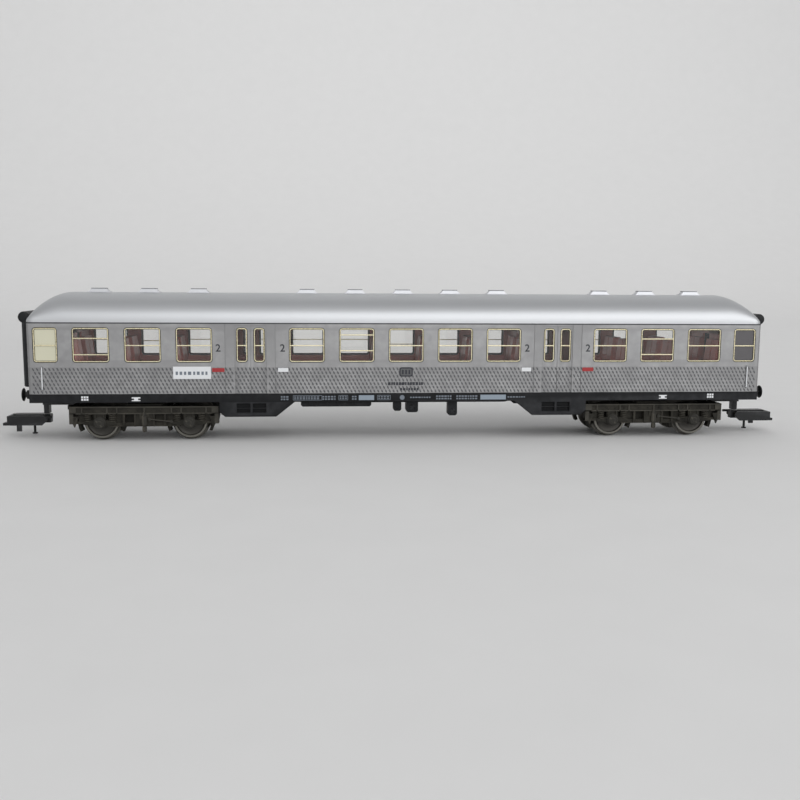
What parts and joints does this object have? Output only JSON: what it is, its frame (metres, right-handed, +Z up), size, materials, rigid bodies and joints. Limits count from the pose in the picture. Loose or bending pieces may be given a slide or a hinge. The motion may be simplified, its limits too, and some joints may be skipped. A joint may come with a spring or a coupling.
{
  "type": "model passenger coach",
  "caption": "Scale model bogie passenger coach, silver with a domed-end roof, swivelling bogies, free-running wheels and lifting loop couplings.",
  "frame": {"origin": "on the table under the coach's centre, midway between the coupling tips and between the sides", "axes": "+X along the coach towards the right-hand end, +Y across it towards the far side, +Z up"},
  "size_m": [0.265, 0.032, 0.0492],
  "materials": {
    "silver_side": "silver paint on moulded plastic, satin, with a fine embossed pattern below the windows",
    "silver_roof": "silver paint on moulded plastic, smooth satin",
    "clear_glazing": "clear moulded styrene, glossy",
    "gilt_frame": "thin gilt print on the window frames",
    "brown_interior": "red-brown moulded plastic",
    "bright_steel": "bright steel",
    "blackened_wheel": "chemically blackened metal with worn treads",
    "black_rubber": "black, matt",
    "bogie_plastic": "very dark olive grey moulded plastic",
    "black_plastic": "black moulded plastic, satin",
    "white_print": "white paint"
  },
  "bodies": {
    "coach": {"body_shell": "silver_side", "roof": "silver_roof", "roof_vent_1": "silver_roof", "roof_vent_2": "silver_roof", "roof_vent_3": "silver_roof", "roof_vent_4": "silver_roof", "roof_vent_5": "silver_roof", "roof_vent_6": "silver_roof", "roof_vent_7": "silver_roof", "roof_vent_8": "silver_roof", "roof_vent_9": "silver_roof", "roof_vent_10": "silver_roof", "roof_vent_11": "silver_roof", "glazing_near": "clear_glazing", "glazing_far": "clear_glazing", "interior": "brown_interior", "ballast_plate": "bright_steel", "underframe": "black_plastic", "battery_box": "black_plastic", "brake_lever_bracket": "black_plastic", "brake_valve": "black_plastic", "water_filler": "black_plastic", "destination_plate": "white_print", "gangway_bellows_left": "black_rubber", "end_door_left": "silver_side", "pivot_screw_left": "bright_steel", "buffer_left_near": "black_plastic", "buffer_left_far": "black_plastic", "handrail_left_near": "white_print", "handrail_left_far": "white_print", "gangway_bellows_right": "black_rubber", "end_door_right": "silver_side", "pivot_screw_right": "bright_steel", "buffer_right_near": "black_plastic", "buffer_right_far": "black_plastic", "handrail_right_near": "white_print", "handrail_right_far": "white_print"},
    "bogie_left": {"bogie_frame_left": "bogie_plastic"},
    "wheelset_left_outer": {"axle_left_outer": "blackened_wheel", "wheel_left_outer_near": "blackened_wheel", "wheel_left_outer_far": "blackened_wheel"},
    "wheelset_left_inner": {"axle_left_inner": "blackened_wheel", "wheel_left_inner_near": "blackened_wheel", "wheel_left_inner_far": "blackened_wheel"},
    "coupler_left": {"coupler_arm_left": "black_plastic", "coupler_head_left": "black_plastic"},
    "loop_left": {"coupler_loop_left": "black_plastic"},
    "bogie_right": {"bogie_frame_right": "bogie_plastic"},
    "wheelset_right_outer": {"axle_right_outer": "blackened_wheel", "wheel_right_outer_near": "blackened_wheel", "wheel_right_outer_far": "blackened_wheel"},
    "wheelset_right_inner": {"axle_right_inner": "blackened_wheel", "wheel_right_inner_near": "blackened_wheel", "wheel_right_inner_far": "blackened_wheel"},
    "coupler_right": {"coupler_arm_right": "black_plastic", "coupler_head_right": "black_plastic"},
    "loop_right": {"coupler_loop_right": "black_plastic"}
  },
  "joints": [
    {"name": "bogie_left_swivel", "type": "hinge", "parent": "coach", "child": "bogie_left", "pos_m": [-0.08435, 0, 0.0105], "axis": [0, 0, 1], "range_deg": [-12, 12]},
    {"name": "wheelset_left_outer_spin", "type": "hinge", "parent": "bogie_left", "child": "wheelset_left_outer", "pos_m": [-0.0985, 0, 0.0062], "axis": [0, 1, 0], "continuous": true},
    {"name": "wheelset_left_inner_spin", "type": "hinge", "parent": "bogie_left", "child": "wheelset_left_inner", "pos_m": [-0.0702, 0, 0.0062], "axis": [0, 1, 0], "continuous": true},
    {"name": "coupler_left_swing", "type": "hinge", "parent": "bogie_left", "child": "coupler_left", "pos_m": [-0.10965, 0, 0.0107], "axis": [0, 0, 1], "range_deg": [-8, 8]},
    {"name": "loop_left_lift", "type": "hinge", "parent": "coupler_left", "child": "loop_left", "pos_m": [-0.11905, 0, 0.0063], "axis": [0, 1, 0], "range_deg": [0, 20]},
    {"name": "bogie_right_swivel", "type": "hinge", "parent": "coach", "child": "bogie_right", "pos_m": [0.08435, 0, 0.0105], "axis": [0, 0, 1], "range_deg": [-12, 12]},
    {"name": "wheelset_right_outer_spin", "type": "hinge", "parent": "bogie_right", "child": "wheelset_right_outer", "pos_m": [0.0985, 0, 0.0062], "axis": [0, 1, 0], "continuous": true},
    {"name": "wheelset_right_inner_spin", "type": "hinge", "parent": "bogie_right", "child": "wheelset_right_inner", "pos_m": [0.0702, 0, 0.0062], "axis": [0, 1, 0], "continuous": true},
    {"name": "coupler_right_swing", "type": "hinge", "parent": "bogie_right", "child": "coupler_right", "pos_m": [0.10965, 0, 0.0107], "axis": [0, 0, 1], "range_deg": [-8, 8]},
    {"name": "loop_right_lift", "type": "hinge", "parent": "coupler_right", "child": "loop_right", "pos_m": [0.11905, 0, 0.0063], "axis": [0, -1, 0], "range_deg": [0, 20]}
  ]
}
